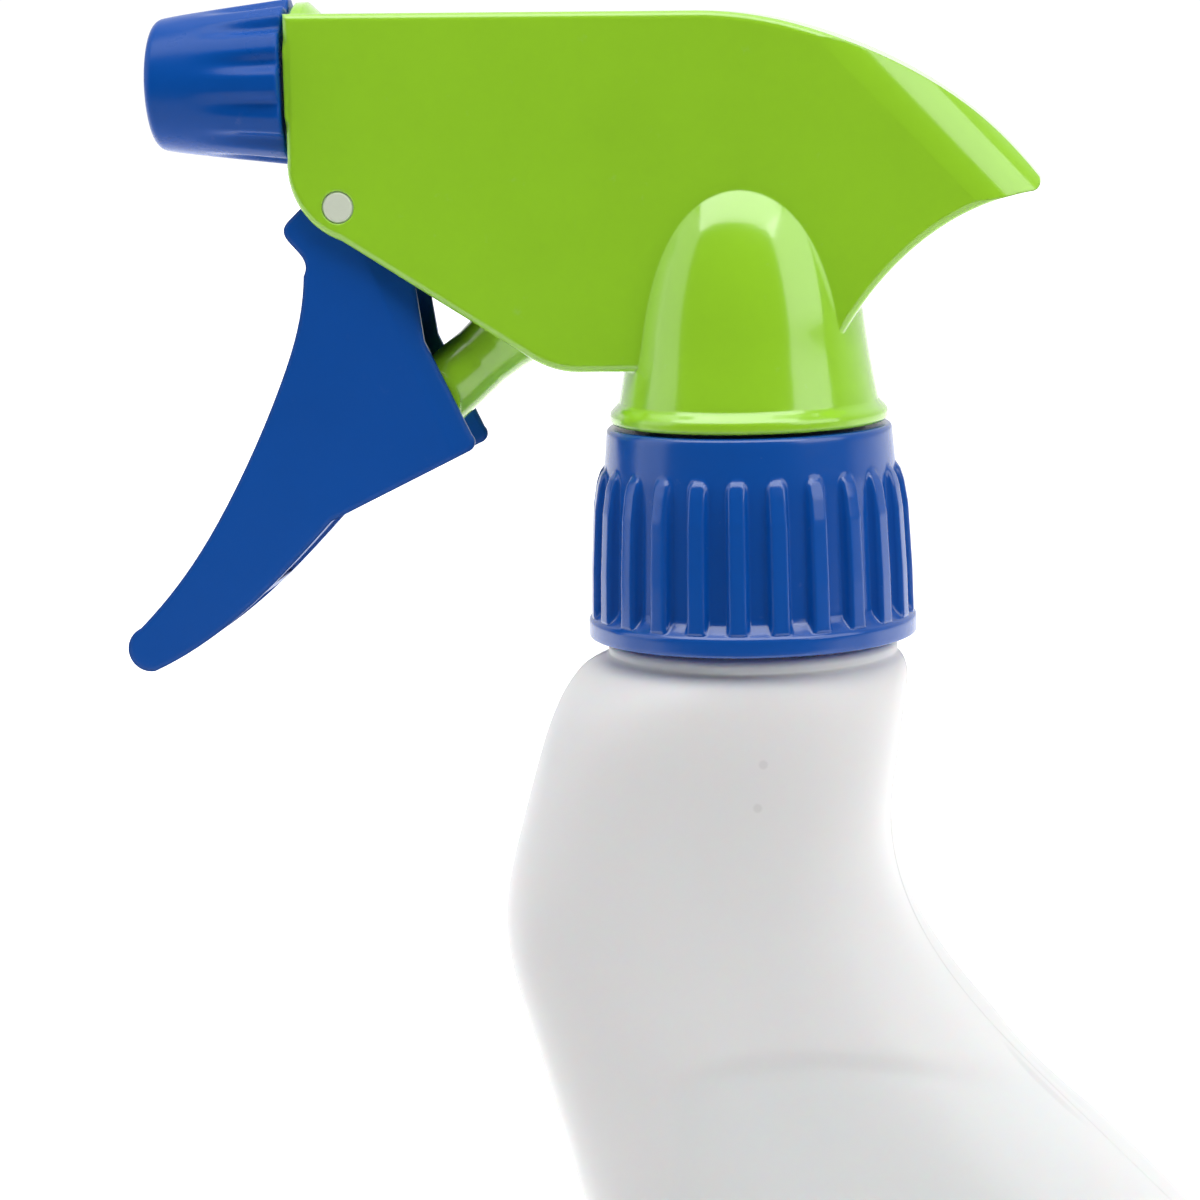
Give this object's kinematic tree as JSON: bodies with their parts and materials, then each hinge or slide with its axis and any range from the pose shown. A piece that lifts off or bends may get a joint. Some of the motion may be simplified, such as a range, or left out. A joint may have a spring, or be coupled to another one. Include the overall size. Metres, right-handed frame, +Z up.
{
  "type": "spray bottle",
  "caption": "Hand trigger spray bottle: curved white bottle with a waisted grip, ribbed screw closure, flat-sided sprayer head with a tail, pinned trigger and fluted nozzle knob.",
  "frame": {"origin": "middle of the flat face that the bottle stands on", "axes": "+Z up along the neck, -X the way the nozzle sprays, +Y across the bottle"},
  "size_m": [0.1396, 0.0526, 0.2388],
  "materials": {
    "bottle_white": "satin natural white, slightly translucent",
    "sprayer_green": "glossy lime green polypropylene",
    "sprayer_blue": "glossy royal blue polypropylene",
    "pin_white": "white acetal",
    "natural_plastic": "natural polyethylene",
    "spring_steel": "bright stainless wire",
    "valve_rubber": "soft black rubber"
  },
  "bodies": {
    "bottle": {"bottle": "bottle_white"},
    "head": {"shroud": "sprayer_green", "pump_body": "natural_plastic", "pivot_pin": "pin_white", "inlet_seat": "natural_plastic", "dip_tube": "natural_plastic", "tube_strainer": "natural_plastic", "vent_valve": "valve_rubber", "neck_gasket": "natural_plastic", "return_spring": "spring_steel", "outlet_spring": "spring_steel", "swirl_insert": "natural_plastic", "nozzle_seal": "valve_rubber"},
    "closure": {"closure": "sprayer_blue"},
    "trigger": {"trigger": "sprayer_blue"},
    "piston": {"piston": "sprayer_green", "piston_cup": "natural_plastic"},
    "nozzle": {"nozzle": "sprayer_blue"},
    "inlet_ball": {"inlet_ball": "spring_steel"},
    "outlet_valve": {"outlet_valve": "natural_plastic"}
  },
  "joints": [
    {"name": "head_lift", "type": "slide", "parent": "bottle", "child": "head", "axis": [0, 0, 1], "range_m": [0, 0.00529]},
    {"name": "closure_turn", "type": "hinge", "parent": "head", "child": "closure", "pos_m": [-0.025, 0, 0.172], "axis": [0, 0, 1], "range_deg": [0, 450]},
    {"name": "trigger_squeeze", "type": "hinge", "parent": "head", "child": "trigger", "pos_m": [-0.0664, 0, 0.2175], "axis": [0, -1, 0], "range_deg": [0, 20], "stiffness_Nm_per_rad": 0.3, "springref_deg": -17.19},
    {"name": "piston_stroke", "type": "slide", "parent": "head", "child": "piston", "axis": [0.766, 0, 0.6428], "range_m": [0, 0.00745], "deforming": ["return_spring"]},
    {"name": "nozzle_turn", "type": "hinge", "parent": "head", "child": "nozzle", "pos_m": [-0.075, 0, 0.2303], "axis": [-1, 0, 0], "continuous": true},
    {"name": "inlet_ball_lift", "type": "slide", "parent": "head", "child": "inlet_ball", "axis": [0, 0, 1], "range_m": [0, 0.0015]},
    {"name": "outlet_valve_open", "type": "slide", "parent": "head", "child": "outlet_valve", "axis": [-1, 0, 0], "range_m": [0, 0.0008], "stiffness_N_per_m": 80, "springref_m": -0.002, "deforming": ["outlet_spring"]}
  ],
  "couplings": [
    {"joint": "piston_stroke", "follows": "trigger_squeeze", "m_per_rad": 0.02122},
    {"joint": "closure_turn", "follows": "head_lift", "rad_per_m": 1485.4}
  ]
}
